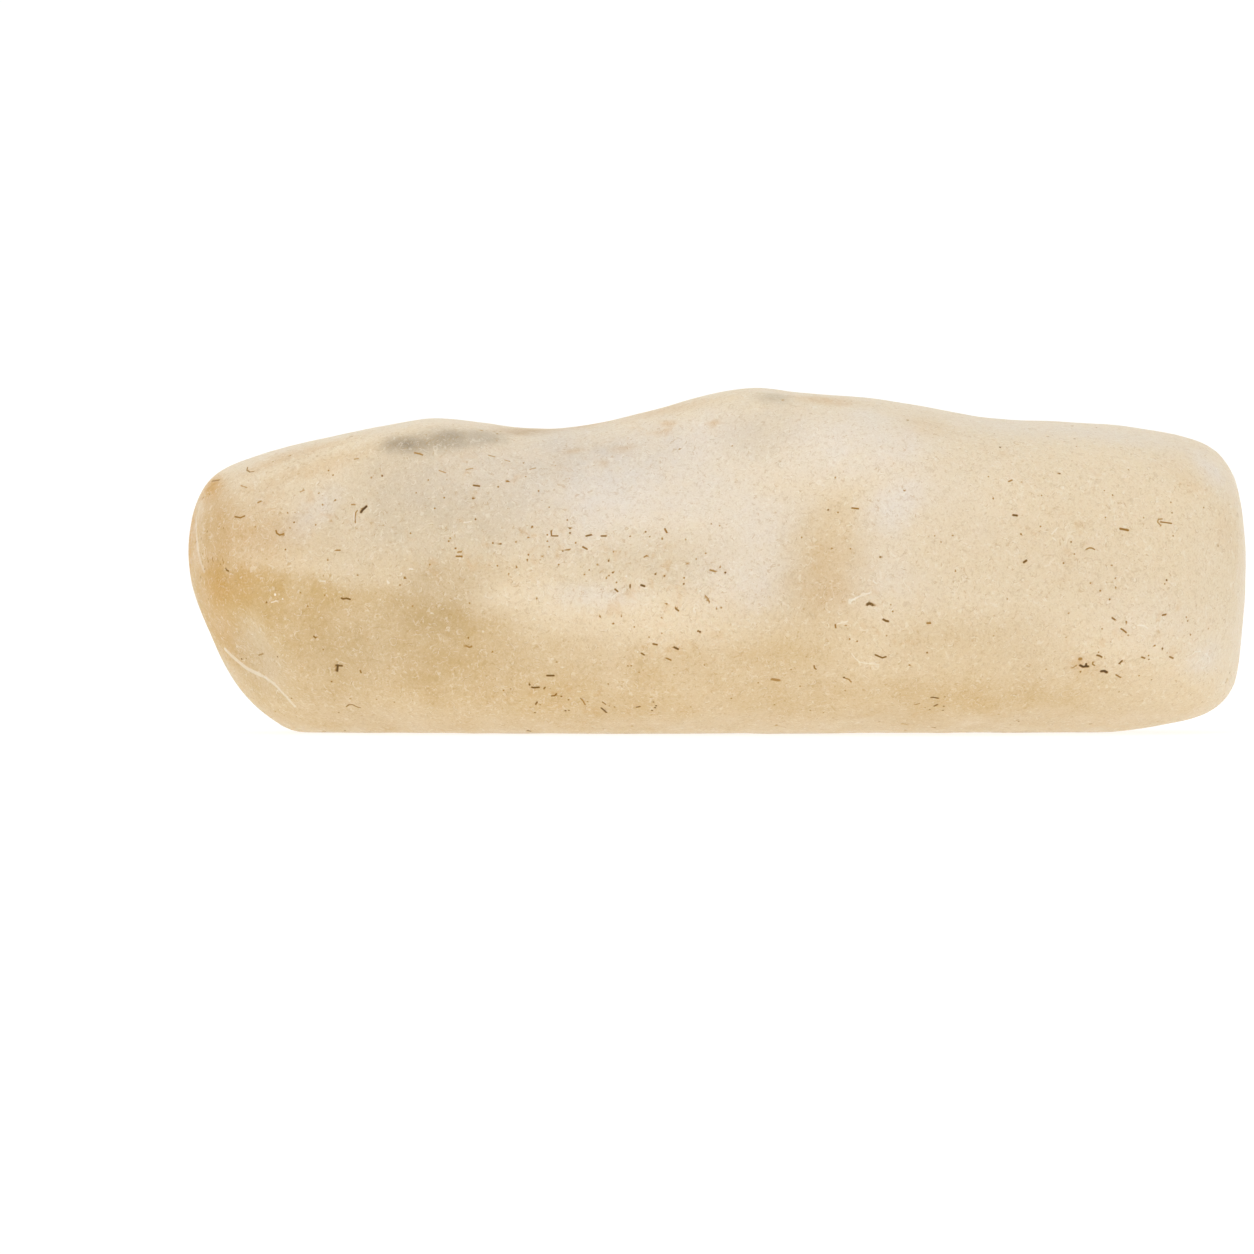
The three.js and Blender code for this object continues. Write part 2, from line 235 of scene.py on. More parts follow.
# Short gouges and cracks: path, half width and how dark
gouges = [
    ([(-9.42, 5.82), (-9.38, 5.88), (-9.28, 5.97)], 0.032, 1.0),
    ([(-9.57, 5.54), (-9.58, 5.67), (-9.56, 5.80), (-9.52, 5.86)], 0.015, 0.5),
    ([(-13.62, 4.52), (-13.60, 4.44)], 0.015, 0.4), ([(-13.48, 4.60), (-13.45, 4.50)], 0.015, 0.4),
    ([(-13.36, 4.60), (-13.33, 4.50)], 0.015, 0.45), ([(-13.22, 4.58), (-13.20, 4.50)], 0.015, 0.4),
    ([(-13.08, 4.56), (-13.06, 4.47)], 0.015, 0.45), ([(-12.60, 6.52), (-12.44, 6.47)], 0.016, 0.4),
    ([(-11.05, 6.35), (-10.92, 6.40)], 0.015, 0.4), ([(-7.35, 6.92), (-7.18, 6.86)], 0.015, 0.4),
    ([(-6.62, 6.95), (-6.46, 6.98)], 0.015, 0.4), ([(-6.05, 7.33), (-5.88, 7.28)], 0.015, 0.42),
    ([(-5.62, 7.20), (-5.48, 7.16)], 0.015, 0.4), ([(-4.95, 6.95), (-4.80, 6.99)], 0.015, 0.4),
    ([(-11.67, 5.33), (-11.65, 5.26), (-11.57, 5.21), (-11.44, 5.26)], 0.02, 0.55),
    ([(-12.76, 5.70), (-12.61, 5.67), (-12.50, 5.72)], 0.02, 0.6),
    ([(-12.42, 7.01), (-12.44, 6.93), (-12.36, 6.88), (-12.25, 6.90)], 0.018, 0.55),
    ([(-13.36, 6.64), (-13.17, 6.67)], 0.022, 0.6), ([(-12.15, 6.07), (-12.07, 6.11)], 0.02, 0.5),
    ([(-9.60, 7.22), (-9.49, 7.24)], 0.018, 0.42), ([(-9.67, 6.02), (-9.58, 6.02)], 0.018, 0.45),
    ([(-10.08, 4.81), (-9.97, 4.81)], 0.018, 0.5),
    ([(-13.00, 4.33), (-12.99, 4.29), (-12.93, 4.26)], 0.022, 0.7),
    ([(-8.00, 7.39), (-7.86, 7.36), (-7.79, 7.33)], 0.02, 0.5),
    ([(-6.44, 6.53), (-6.29, 6.51)], 0.024, 0.72), ([(-6.86, 4.76), (-6.77, 4.77)], 0.018, 0.5),
    ([(-6.90, 4.65), (-6.75, 4.65)], 0.02, 0.6),
    ([(-4.39, 5.32), (-4.38, 5.19), (-4.21, 5.19)], 0.018, 0.62),
    ([(-3.46, 5.19), (-3.33, 5.22)], 0.024, 0.75), ([(-3.06, 5.19), (-2.94, 5.19)], 0.022, 0.7),
    ([(-3.55, 4.90), (-3.44, 4.84)], 0.022, 0.6), ([(-1.38, 5.38), (-1.33, 5.28)], 0.022, 0.62),
    ([(-1.93, 4.63), (-1.86, 4.67)], 0.018, 0.52), ([(-0.18, 4.29), (-0.06, 4.25)], 0.022, 0.5),
    ([(3.57, 5.93), (3.74, 5.91)], 0.02, 0.58), ([(7.72, 6.63), (7.81, 6.67)], 0.02, 0.5),
    ([(7.84, 5.74), (7.94, 5.73)], 0.027, 0.85), ([(8.12, 4.49), (8.19, 4.54)], 0.028, 0.8),
    ([(9.78, 4.84), (9.85, 4.87), (9.92, 4.87), (9.99, 4.83)], 0.017, 0.5),
    ([(10.67, 5.38), (10.88, 5.34)], 0.027, 0.6), ([(11.74, 5.56), (12.03, 5.52)], 0.018, 0.6),
    ([(11.78, 5.64), (11.68, 5.63), (11.66, 5.56), (11.74, 5.47)], 0.017, 0.45),
    ([(-9.94, 3.54), (-9.89, 3.52), (-9.81, 3.54), (-9.71, 3.51)], 0.022, 0.8),
    ([(-12.13, 2.03), (-12.01, 2.07)], 0.018, 0.5), ([(-10.67, 2.53), (-10.60, 2.47)], 0.022, 0.65),
    ([(-10.08, 1.76), (-9.93, 1.75)], 0.028, 0.8), ([(-10.04, 1.76), (-10.05, 1.61)], 0.03, 0.9),
    ([(-9.44, 1.62), (-9.42, 1.57)], 0.02, 0.62),
    ([(-9.81, 0.67), (-9.74, 0.72), (-9.64, 0.72), (-9.50, 0.65), (-9.44, 0.64)], 0.018, 0.6),
    ([(-6.63, 2.28), (-6.56, 2.24), (-6.49, 2.26)], 0.02, 0.5),
    ([(-4.50, 1.49), (-4.32, 1.49)], 0.025, 0.85),
    ([(-4.90, 1.18), (-4.86, 1.17), (-4.71, 1.18)], 0.024, 0.85),
    ([(-4.58, 1.14), (-4.55, 1.18)], 0.02, 0.7), ([(-4.38, 0.95), (-4.29, 0.96), (-4.25, 1.01)], 0.02, 0.7),
    ([(-4.80, 0.73), (-4.76, 0.79)], 0.022, 0.75), ([(-2.30, 3.89), (-2.30, 3.83)], 0.022, 0.75),
    ([(-2.70, 3.78), (-2.63, 3.72)], 0.022, 0.7), ([(-2.01, 3.89), (-1.92, 3.86)], 0.027, 0.88),
    ([(-0.32, 3.61), (-0.25, 3.54), (-0.20, 3.44)], 0.018, 0.5),
    ([(-1.09, 3.26), (-1.02, 3.21)], 0.022, 0.7), ([(-1.69, 2.33), (-1.59, 2.31)], 0.022, 0.68),
    ([(-1.13, 2.24), (-1.03, 2.19)], 0.027, 0.85), ([(-2.00, 2.08), (-1.93, 2.04)], 0.022, 0.72),
    ([(-1.33, 1.95), (-1.22, 1.90)], 0.02, 0.55),
    ([(-3.61, 0.89), (-3.54, 0.81), (-3.49, 0.72)], 0.02, 0.5),
    ([(-3.03, 0.79), (-2.95, 0.73)], 0.02, 0.62),
    ([(-3.06, 0.63), (-2.99, 0.57), (-2.93, 0.51)], 0.026, 0.85),
    ([(-2.13, 0.65), (-2.04, 0.67)], 0.023, 0.75), ([(1.46, 1.39), (1.64, 1.36)], 0.04, 0.48),
    ([(2.57, 1.75), (2.58, 1.69), (2.62, 1.66)], 0.02, 0.62), ([(3.13, 2.84), (3.14, 2.76)], 0.02, 0.6),
    ([(3.97, 3.37), (4.03, 3.41), (4.13, 3.36)], 0.036, 0.85),
    ([(4.40, 2.98), (4.47, 2.94), (4.53, 2.93)], 0.027, 0.8),
    ([(4.19, 2.04), (4.28, 2.00), (4.38, 1.96), (4.47, 1.99)], 0.022, 0.75),
    ([(5.56, 2.88), (5.65, 2.88)], 0.022, 0.55), ([(3.40, 1.42), (3.49, 1.39), (3.55, 1.32)], 0.018, 0.5),
    ([(5.67, 0.91), (5.74, 0.91), (5.85, 0.89)], 0.026, 0.8), ([(5.24, 0.72), (5.36, 0.75)], 0.018, 0.5),
    ([(5.75, 0.68), (5.83, 0.72)], 0.026, 0.75),
    ([(9.61, 1.76), (9.69, 1.72), (9.76, 1.73), (9.82, 1.73)], 0.033, 1.0),
    ([(9.77, 1.80), (9.77, 1.75)], 0.028, 0.95), ([(9.60, 1.93), (9.63, 1.93)], 0.04, 0.5),
    ([(9.42, 1.70), (9.51, 1.76)], 0.02, 0.42), ([(10.17, 1.60), (10.25, 1.61), (10.32, 1.57)], 0.038, 1.0),
    ([(10.06, 2.03), (10.13, 2.01), (10.18, 1.98)], 0.024, 0.7),
    ([(9.95, 1.85), (9.94, 1.79), (9.99, 1.76)], 0.018, 0.55), ([(10.65, 1.81), (10.72, 1.88)], 0.026, 0.8),
    ([(10.56, 1.51), (10.68, 1.44)], 0.02, 0.55),
    ([(10.69, 2.73), (10.76, 2.69), (10.83, 2.63)], 0.02, 0.6),
    ([(10.46, 3.02), (10.53, 2.97)], 0.022, 0.65), ([(11.79, 3.09), (11.88, 3.11)], 0.022, 0.65),
    ([(11.24, 1.98), (11.32, 1.95)], 0.022, 0.65), ([(11.98, 1.99), (12.07, 1.95)], 0.022, 0.58),
]

# Fresh chips and fine ridges, drawn as painted highlights: path, half width and brightness
chips = [
    ([(-13.00, 2.19), (-12.81, 2.00), (-12.61, 1.83), (-12.44, 1.69), (-12.22, 1.58),
      (-12.06, 1.51)], 0.055, 0.45),
    ([(-12.06, 1.51), (-11.89, 1.42), (-11.72, 1.28), (-11.58, 1.15), (-11.36, 0.92),
      (-11.17, 0.69)], 0.045, 0.4),
    ([(-13.77, 5.65), (-13.75, 5.10), (-13.68, 4.60), (-13.55, 4.25)], 0.05, 0.24),
    ([(-12.08, 6.61)], 0.022, 0.5), ([(-12.22, 6.43)], 0.022, 0.4), ([(-12.36, 6.00)], 0.022, 0.5),
    ([(-11.07, 5.82)], 0.022, 0.5), ([(-11.17, 5.13)], 0.022, 0.4),
    ([(-9.60, 5.60), (-9.60, 5.80)], 0.016, 0.4), ([(-8.14, 4.31), (-8.05, 4.31)], 0.018, 0.6),
    ([(-8.35, 4.20)], 0.022, 0.5), ([(-6.70, 5.54), (-6.50, 5.57)], 0.016, 0.5),
    ([(-1.85, 4.94)], 0.024, 0.5), ([(-2.40, 4.12)], 0.024, 0.6), ([(-2.87, 5.20)], 0.018, 0.5),
    ([(-2.57, 7.18)], 0.022, 0.4), ([(0.36, 4.31)], 0.022, 0.6), ([(8.99, 5.38), (8.86, 5.24)], 0.018, 0.5),
    ([(8.88, 5.14), (8.96, 5.08)], 0.016, 0.4), ([(-11.79, 3.43), (-11.64, 3.47)], 0.016, 0.6),
    ([(-11.69, 3.63)], 0.028, 0.95), ([(-11.49, 3.52)], 0.022, 0.8),
    ([(-10.50, 3.99), (-10.35, 3.99)], 0.016, 0.5), ([(-8.91, 3.50)], 0.022, 0.5),
    ([(-8.72, 3.99), (-8.67, 3.94)], 0.016, 0.6), ([(-6.19, 2.66)], 0.028, 0.5),
    ([(-7.55, 3.15)], 0.02, 0.45), ([(-0.45, 3.73)], 0.024, 0.6), ([(-2.10, 2.12)], 0.022, 0.6),
    ([(3.50, 3.44), (3.70, 3.56)], 0.022, 0.55), ([(3.70, 3.56), (3.89, 3.64), (4.03, 3.67)], 0.02, 0.5),
    ([(4.14, 3.99), (4.22, 3.93)], 0.018, 0.5), ([(3.19, 2.86), (3.44, 2.92)], 0.016, 0.45),
    ([(2.75, 3.56)], 0.022, 0.5), ([(2.97, 3.17)], 0.022, 0.45),
    ([(3.56, 2.08), (3.67, 1.94), (3.78, 1.85), (4.00, 1.81), (4.28, 1.79)], 0.016, 0.4),
    ([(8.27, 1.52)], 0.022, 0.5), ([(11.48, 1.30)], 0.02, 0.5),
    ([(11.13, 2.82), (11.17, 2.83), (11.30, 2.82), (11.39, 2.75)], 0.02, 0.5),
    ([(12.55, 2.02), (12.65, 2.12), (12.79, 2.13)], 0.016, 0.4),
    ([(12.70, 1.85), (12.84, 1.93)], 0.016, 0.4),
    ([(12.92, 2.08), (13.02, 1.98), (13.03, 1.85)], 0.016, 0.4),
    ([(12.81, 1.69), (12.93, 1.73)], 0.016, 0.35),
]

# How wide and deep the marks above are
marked = {
    "pitWidth": (0.014, 0.015),      # half width in mm of a clean pit, and what full dirt adds to it
    "pitDepth": 0.3,                 # depths are shares of the half width
    "gougeDepth": 0.5,
    "chipDepth": -0.35,              # chips and ridges stand out
}

# Pits and percussion crescents scattered by seed over the sides and the back
scatter = {
    "pits": 330,
    "pitWidth": (0.018, 0.034),      # half width in mm
    "dotLength": (0.0, 0.03),        # most pits are dots
    "commaLength": (0.06, 0.16),     # and some are short curls
    "commaShare": 0.25,
    "commaCurl": (-0.3, 0.3),        # bulge as a share of the length
    "pitDepth": 0.8,                 # as a share of the half width
    "pitDirt": (0.3, 0.9),
    "patches": 60,                   # places round which pits gather
    "patchReach": 1.3,               # mm
    "patchSpread": 0.5,              # standard deviation of the distance, as a share of the reach
    "gathered": 0.6,                 # share of the pits that lie in a patch
    "faceCovered": -0.35,            # skin whose normal points further forward holds the marks above
    "crescents": 26,
    "crescentRadius": (0.1, 0.26),
    "crescentTurn": (0.8, 1.9),      # radians of arc
    "crescentSteps": 6,              # straight pieces of the arc
    "crescentWidth": 0.016,
    "crescentDepth": 0.4,            # as a share of the width
    # painted highlight on each crescent, least and most
    "crescentGlint": (0.2, 0.45),
}


def onBroadFace(tree, path):
    # Points of the stone's surface that show at these places from the eye
    found = []
    for x, z in path:
        hit = tree.ray_cast(eye, Vector((x, 0, z)) * mm - eye)[0]
        if hit is not None:
            found.append(hit)
    return found


def markedStrokes(tree, settings):
    least, gain = settings["pitWidth"]
    marks = [([(x, z)], least + gain * dark, "pitDepth", "dirt", dark) for x, z, dark in pits]
    marks += [(path, width, "gougeDepth", "dirt", dark) for path, width, dark in gouges]
    marks += [(path, width, "chipDepth", "glint", bright) for path, width, bright in chips]
    strokes = [{"points": onBroadFace(tree, path), "width": width, "depth": settings[depth] * width,
                kind: amount} for path, width, depth, kind, amount in marks]
    return [stroke for stroke in strokes if stroke["points"]]


def onSkin(tree, path):
    return [tree.find_nearest(point)[0] for point in path]


def tangents(normal):
    side = normal.orthogonal().normalized()
    return side, normal.cross(side)


def scatteredStrokes(skin, tree, settings, seed):
    rng = random.Random(seed)
    hidden = [vert for vert in skin.verts if vert.normal.y > settings["faceCovered"]]
    centres = [rng.choice(hidden).co.copy() for _ in range(settings["patches"])]
    strokes = []
    for _ in range(settings["pits"]):
        if rng.random() < settings["gathered"]:
            reach = settings["patchReach"] * mm
            offset = Vector([rng.gauss(0, settings["patchSpread"]) * reach for _ in range(3)])
            centre, normal, _, _ = tree.find_nearest(rng.choice(centres) + offset)
        else:
            vert = rng.choice(hidden)
            centre, normal = vert.co.copy(), vert.normal.copy()
        side, across = tangents(normal)
        turn = rng.uniform(0, math.tau)
        along = side * math.cos(turn) + across * math.sin(turn)
        curled = rng.random() < settings["commaShare"]
        length = rng.uniform(*settings["commaLength" if curled else "dotLength"]) * mm
        width = rng.uniform(*settings["pitWidth"])
        bulge = along.cross(normal) * length * rng.uniform(*settings["commaCurl"])
        path = [centre - along * length / 2, centre + bulge / 2, centre + along * length / 2]
        strokes.append({"points": onSkin(tree, path), "width": width, "depth": width * settings["pitDepth"],
                        "dirt": rng.uniform(*settings["pitDirt"])})
    for _ in range(settings["crescents"]):
        vert = rng.choice(hidden)
        side, across = tangents(vert.normal)
        radius = rng.uniform(*settings["crescentRadius"]) * mm
        start = rng.uniform(0, math.tau)
        sweep = rng.uniform(*settings["crescentTurn"])
        steps = settings["crescentSteps"]
        path = [vert.co + side * math.cos(start + sweep * i / steps) * radius
                + across * math.sin(start + sweep * i / steps) * radius for i in range(steps + 1)]
        strokes.append({"points": onSkin(tree, path), "width": settings["crescentWidth"],
                        "depth": settings["crescentWidth"] * settings["crescentDepth"],
                        "glint": rng.uniform(*settings["crescentGlint"])})
    return strokes


def chainDistance(point, chain):
    # Distance from a point to a chain of short edges
    if len(chain) == 1:
        return (point - chain[0]).length
    nearest = math.inf
    for a, b in zip(chain, chain[1:]):
        edge = b - a
        share = 0.0
        if edge.length_squared > 0:
            share = min(max((point - a).dot(edge) / edge.length_squared, 0.0), 1.0)
        nearest = min(nearest, (point - a - edge * share).length)
    return nearest


def nearStroke(tree, stroke, reach):
    # Numbers of the skin's points that lie within reach of a stroke
    near = {}
    for a, b in zip(stroke["points"], stroke["points"][1:] or stroke["points"]):
        middle, half = (a + b) / 2, (b - a).length / 2
        for place, index, _ in tree.find_range(middle, half + reach):
            if index not in near:
                gap = chainDistance(place, stroke["points"])
                if gap <= reach:
                    near[index] = gap
    return near


def vertTree(skin):
    tree = KDTree(len(skin.verts))
    for index, vert in enumerate(skin.verts):
        tree.insert(vert.co, index)
    tree.balance()
    return tree


def refine(skin, strokes, settings):
    # Finer edges under every stroke, so that its shape is in the mesh
    step = settings["voxel"] * mm
    widths, steps = settings["refined"]
    while True:
        coarse = [stroke for stroke in strokes if step > settings["finest"] * stroke["width"] * mm]
        if not coarse:
            return
        tree = vertTree(skin)
        skin.verts.ensure_lookup_table()
        edges = set()
        for stroke in coarse:
            near = nearStroke(tree, stroke, widths * stroke["width"] * mm + steps * step)
            edges.update(edge for index in near for edge in skin.verts[index].link_edges
                         if edge.calc_length() > settings["splitFrom"] * step
                         and edge.other_vert(skin.verts[index]).index in near)
        bmesh.ops.subdivide_edges(skin, edges=list(edges), cuts=1, use_grid_fill=True)
        bmesh.ops.triangulate(skin, faces=[face for face in skin.faces if len(face.verts) > 4])
        skin.verts.index_update()
        step /= 2


def cutStrokes(skin, strokes, settings):
    # Presses each stroke into the skin. Every point near one notes how close it lies, which the
    # material cuts off at the mark's edge, and how dirty or bright the mark is.
    kinds = ("dirt", "glint")
    layers = {title: skin.verts.layers.float.new(title) for kind in kinds for title in (kind, kind + "Near")}
    skin.normal_update()
    skin.verts.ensure_lookup_table()
    tree = vertTree(skin)
    for stroke in strokes:
        width = stroke["width"] * mm
        kind = kinds["glint" in stroke]
        for index, gap in nearStroke(tree, stroke, settings["fade"] * width).items():
            vert = skin.verts[index]
            kept = 1 - smoothStep(*settings["pressed"], gap / width)
            vert.co -= vert.normal * stroke["depth"] * mm * kept
            close = 1 - gap / (settings["fade"] * width)
            if close > vert[layers[kind + "Near"]]:
                vert[layers[kind + "Near"]] = close
                vert[layers[kind]] = stroke[kind]


# Soft zones of the glass on the broad face, in mm: middle, reach along and across, turn in degrees
# and strength. Milky glass is whitish, and the milky zones also hold painted highlights and painted
# sheen; straw glass is yellow and amber glass orange, though the thin amber zones along the top edge
# are a painted reflection. The painted-shade zones are greyer: painted shade under the top edge and
# over the upper left. Specks gather in the speckled ones.
zones = {
    "milkAndHighlight": [
        # Whitish milky glass, with painted light: (-10.8, 5.75), (4.75, 6.0) and (12.85, 1.9) are painted
        # highlights, (9.6, 7.95) and (13.1, 6.9) painted sheen along the top right and the right end, (-3.2,
        # 3.6) a painted highlight on the lip under the upper scar, and the upper scar is whiter partly
        # because it faces up into the light.
        (-2.6, 6.6, 4.4, 1.7, 0, 0.75), (-1.0, 7.6, 4.5, 0.9, 0, 0.35), (3.4, 7.7, 1.8, 1.0, 12, 0.7),
        (-10.8, 5.75, 1.2, 0.45, 48, 0.6), (4.75, 6.0, 1.2, 0.7, 30, 0.95), (9.6, 7.95, 3.6, 0.42, -4, 0.3),
        (13.1, 6.9, 0.5, 0.9, 35, 0.6), (12.85, 1.9, 0.6, 0.7, 0, 0.5), (-12.2, 5.0, 0.8, 0.4, 20, 0.2),
        (-3.2, 3.6, 1.5, 0.4, -4, 0.6), (1.0, 3.8, 2.0, 0.9, -4, 0.4), (4.6, 3.9, 1.6, 0.7, 0, 0.25),
        (1.0, 5.2, 1.6, 1.6, 0, 0.55), (11.6, 3.0, 1.6, 1.0, 0, 0.25), (5.0, 7.4, 1.4, 0.7, 25, 0.5),
        (4.4, 4.6, 1.2, 0.9, 0, 0.3), (-7.0, 6.9, 2.4, 1.1, 10, 0.3), (0.3, 8.2, 2.6, 0.6, 0, 0.35),
        (5.9, 6.3, 2.2, 1.3, 0, 0.25),
    ],
    "straw": [
        (-12.7, 3.7, 1.7, 0.75, -10, 0.62), (-13.2, 3.0, 0.9, 1.3, 15, 0.4),
        (-10.6, 2.6, 1.8, 1.2, 0, 0.25), (-10.6, 3.8, 2.6, 0.5, -3, 0.3), (-13.2, 4.3, 0.9, 0.5, 0, 0.5),
        (-7.3, 3.45, 1.3, 0.9, 0, 0.45), (-7.2, 2.1, 1.6, 1.2, 0, 0.35), (7.5, 1.0, 5.0, 1.3, 0, 0.3),
        (-1.0, 2.0, 1.8, 0.7, 0, 0.2), (1.8, 2.2, 2.0, 1.3, 0, 0.4), (6.3, 2.5, 3.0, 0.8, 0, 0.3),
        (-3.0, 0.7, 4.0, 0.8, 0, 0.2), (5.0, 0.8, 5.0, 0.8, 0, 0.15), (-13.4, 5.2, 1.0, 1.2, 0, 0.55),
        (-11.8, 5.0, 1.6, 0.9, 0, 0.25), (2.8, 4.9, 1.3, 1.6, 0, 0.28), (2.4, 3.6, 1.2, 1.0, 0, 0.2),
        (13.7, 4.5, 0.4, 2.4, 0, 0.15), (9.0, 4.6, 5.0, 2.4, 0, 0.04), (-9.5, 4.4, 2.6, 0.8, 0, 0.15),
        (-6.8, 4.2, 2.4, 0.5, 0, 0.25),
    ],
    "amberAndReflection": [
        (-13.4, 6.5, 0.5, 0.45, 35, 1.0), (-13.95, 5.2, 0.2, 1.4, 0, 0.9),
        (-10.6, 7.0, 2.2, 0.24, 18, 0.25), (-11.4, 7.25, 2.2, 0.16, 17, 0.35),
        (-13.1, 5.4, 1.5, 1.4, 0, 0.42), (-12.9, 3.9, 1.6, 0.6, -8, 0.25), (-13.4, 3.4, 0.7, 2.2, 18, 0.4),
        # The four thin zones along the top edge, from (-5.2, 7.97) to (2.9, 8.78), are a painted reflection.
        (-12.0, 5.2, 2.0, 1.0, 0, 0.18), (-5.2, 7.97, 1.4, 0.2, 4, 0.6), (-3.5, 8.1, 0.8, 0.2, 6, 0.35),
        (-1.3, 8.55, 1.8, 0.18, 10, 0.3), (2.9, 8.78, 1.0, 0.2, -6, 0.42), (2.9, 4.8, 0.9, 1.2, -4, 0.1),
        (3.0, 3.8, 0.8, 0.9, -15, 0.18), (5.6, 8.1, 0.8, 0.4, -12, 0.2), (12.4, 6.7, 0.9, 0.4, -35, 0.15),
        (13.4, 5.4, 0.4, 0.7, 0, 0.12), (9.6, 1.77, 0.35, 0.28, 0, 0.35), (-0.1, 8.17, 0.2, 0.09, 0, 0.5),
        (-1.3, 8.16, 0.25, 0.1, 0, 0.5), (-1.5, 7.91, 0.4, 0.08, 0, 0.35), (-2.5, 7.49, 0.4, 0.08, 6, 0.4),
        (-3.8, 7.43, 0.4, 0.08, 6, 0.4), (-3.0, 7.1, 0.2, 0.1, 0, 0.35),
    ],
    "paintedShade": [
        # Painted shade: grey smudges under the top edge, and a greyer, darker tone, strongest over the upper
        # left.
        (-8.25, 7.61, 0.75, 0.25, 5, 0.62), (-7.1, 7.8, 0.65, 0.24, 0, 0.45),
        (-6.15, 7.84, 0.6, 0.2, -5, 0.4), (-7.2, 7.74, 1.7, 0.4, 4, 0.35), (-6.65, 7.62, 0.7, 0.14, 4, 0.2),
        (1.45, 8.85, 0.6, 0.24, -8, 0.3), (-7.4, 5.8, 3.8, 1.9, 0, 0.26), (6.5, 4.6, 8.0, 3.0, 0, 0.035),
        (-3.4, 7.3, 2.6, 0.9, 0, 0.16), (-2.0, 4.5, 2.4, 0.9, 0, 0.15), (-7.4, 3.4, 1.5, 1.0, 0, 0.13),
        (-9.6, 2.0, 3.6, 1.6, 0, 0.08), (-5.2, 7.95, 1.6, 0.2, 3, 0.25), (1.2, 8.0, 1.4, 0.8, 0, 0.14),
        (-12.4, 5.9, 2.0, 1.3, 20, 0.12), (-8.0, 7.2, 2.2, 0.7, 10, 0.12),
    ],
    "speckled": [
        (-11.4, 5.8, 2.4, 1.4, 0, 0.8), (-6.6, 4.9, 2.0, 0.9, 0, 0.9), (-4.3, 4.9, 1.4, 1.2, 0, 0.9),
        (-2.4, 4.4, 2.2, 1.0, 0, 1.0), (-5.8, 6.8, 2.2, 0.9, 0, 0.6), (-3.6, 0.9, 2.6, 0.9, 0, 0.9),
        (-1.6, 3.0, 2.4, 1.4, 0, 0.7), (4.4, 2.9, 1.6, 1.6, 0, 0.7), (5.6, 0.8, 1.2, 0.6, 0, 0.9),
        (10.3, 2.0, 1.6, 0.9, 0, 0.9), (12.0, 2.6, 1.4, 1.2, 0, 0.8), (9.0, 5.2, 2.4, 1.6, 0, 0.5),
        (8.6, 7.2, 3.4, 0.9, 0, 0.5), (-10.4, 1.8, 2.6, 1.4, 0, 0.4), (2.8, 4.6, 0.9, 1.6, 0, 0.6),
        (0.4, 1.4, 2.0, 1.2, 0, 0.4), (-1.2, 8.0, 2.6, 0.4, 8, 0.8),
    ],
}


# How the zones lie on the skin, and the clouds on the sides and the back, which no zone covers
tint = {
    "edge": 1.4,                 # where a zone ends, as a share of its reach
    "deep": (0.6, 2),            # mm that a zone goes back, and what its smaller reach adds to them
    "ripples": [(1.6, 1.0), (0.6, 0.5)],    # wavelength in mm and share of the push on its outline
    "rippleStarts": ((0, 0, 0), (4, 1, 8), (9, 4, 2)),
    "rippled": (0.5, 0.35),      # most push in mm, and push as a share of its smaller reach
    "front": (3.5, 1.0),         # mm behind the middle where no zone shows, and where all of it does
    "cloud": 4.3,                # mm, wavelength of the milky and the straw clouds
    "cloudStart": (3, 7, 5),
    "patch": 2.4,                # mm, wavelength of the speckled places
    "behind": {                  # values of the noise where the clouds begin and are full, and most
        "milkAndHighlight": (-0.2, 0.6, 0.6),
        "straw": (-0.3, 0.7, 0.6),
        "speckled": (0.0, 0.4, 0.8),
    },
}

# The line where the upper and the lower slope of the broad face meet, in mm. Below it the glass is
# straw coloured, most of all at the left end; the straw there is partly the glass's colour and partly
# painted shade on the lower slope, which faces down.
ridge = {
    "line": [(-14.2, 4.55), (-12.0, 4.42), (-10.0, 4.05), (-7.0, 3.75), (-4.5, 3.15), (-2.0, 2.9), (2.2, 2.7),
             (7.0, 2.3), (14.2, 2.0)],
    "straw": [(-14.2, 0.5), (-10.5, 0.48), (-6.0, 0.46), (0.0, 0.36), (5.0, 0.34), (14.2, 0.34)],
    "rippled": 0.2,              # mm that the line is pushed up and down
    "above": 0.12,               # mm over the line where the straw colour begins
    # mm over it where the colour is full
    "below": [(-14.2, -0.25), (-10.0, -0.45), (-6.0, -0.8), (0.0, -1.8), (14.2, -2.2)],
}


def alongLine(line, x):
    # Height of a line of (x, height) points at x
    for (x0, h0), (x1, h1) in zip(line, line[1:]):
        if x <= x1:
            return h0 + (h1 - h0) * min(max((x - x0) / (x1 - x0), 0.0), 1.0)
    return line[-1][1]


def zoneStrength(place, zone, zoneDepth, settings):
    # A zone is an ellipsoid about a point of the skin. Depths are how far back things lie, in mm.
    x, z, along, across, turn, strength = zone
    dx, dz = place.x - x, place.z - z
    if max(abs(dx), abs(dz)) > settings["edge"] * max(along, across):
        return 0.0
    angle = math.radians(turn)
    right = (dx * math.cos(angle) + dz * math.sin(angle)) / along
    up = (dz * math.cos(angle) - dx * math.sin(angle)) / across
    least, gain = settings["deep"]
    back = (place.y - zoneDepth) / (least + gain * min(along, across))
    return strength * (1 - smoothStep(0.0, settings["edge"], math.hypot(right, up, back)))


